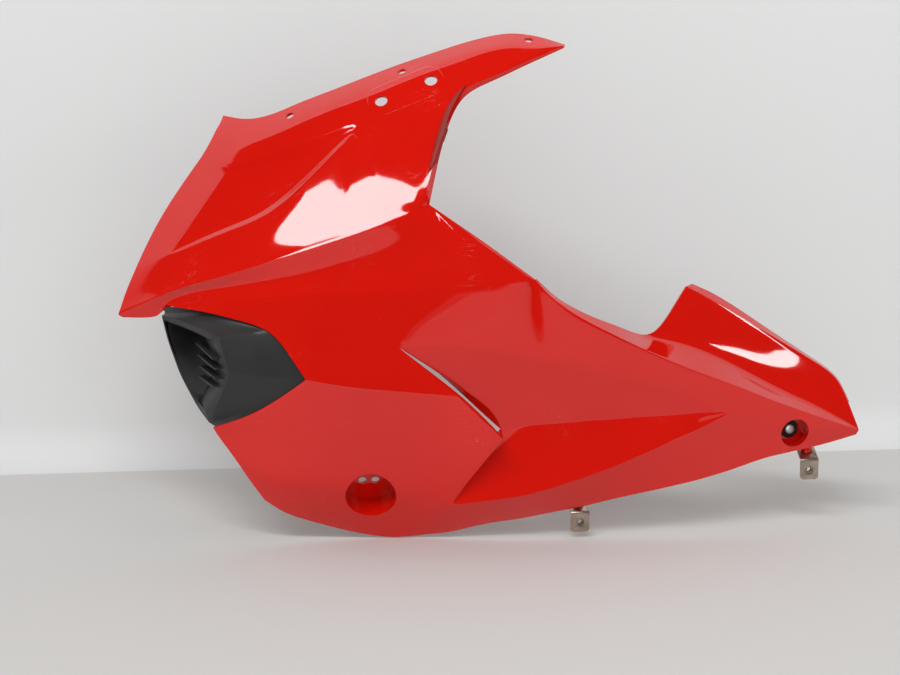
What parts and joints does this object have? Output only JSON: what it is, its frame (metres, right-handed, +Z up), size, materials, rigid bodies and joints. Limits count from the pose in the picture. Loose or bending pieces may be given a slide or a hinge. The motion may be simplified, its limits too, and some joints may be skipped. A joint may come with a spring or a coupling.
{
  "type": "motorcycle upper fairing",
  "caption": "Left upper fairing of a sports motorcycle: creased red panel with a swept hook, vent slot and fixing cups, a black intake duct and bent steel tabs.",
  "frame": {"origin": "centre of the rear fixing's sleeve bore, in the floor of the rear cup", "axes": "+X to the rear of the motorcycle, +Z up, the painted face looks along -Y and the motorcycle lies towards +Y"},
  "size_m": [0.75, 0.1814, 0.498],
  "materials": {
    "red_shell": "gloss painted",
    "black_duct": "satin moulded",
    "grommet_rubber": "matte",
    "sleeve_steel": "zinc plated",
    "bracket_steel": "plated, slightly dull",
    "nut_steel": "plated",
    "screw_steel": "plated",
    "dark_screw": "blackened"
  },
  "bodies": {
    "root": {"fairing_shell": "red_shell", "intake_duct": "black_duct", "rear_grommet": "grommet_rubber", "rear_sleeve": "sleeve_steel", "front_lower_bracket": "bracket_steel", "rear_lower_bracket": "bracket_steel", "front_bracket_nut": "nut_steel", "rear_bracket_nut": "nut_steel", "front_bracket_screw": "screw_steel", "rear_bracket_screw": "screw_steel", "nose_screw": "dark_screw", "duct_screw_1": "dark_screw", "duct_screw_2": "dark_screw", "duct_screw_3": "dark_screw", "duct_screw_4": "dark_screw"}
  },
  "joints": []
}
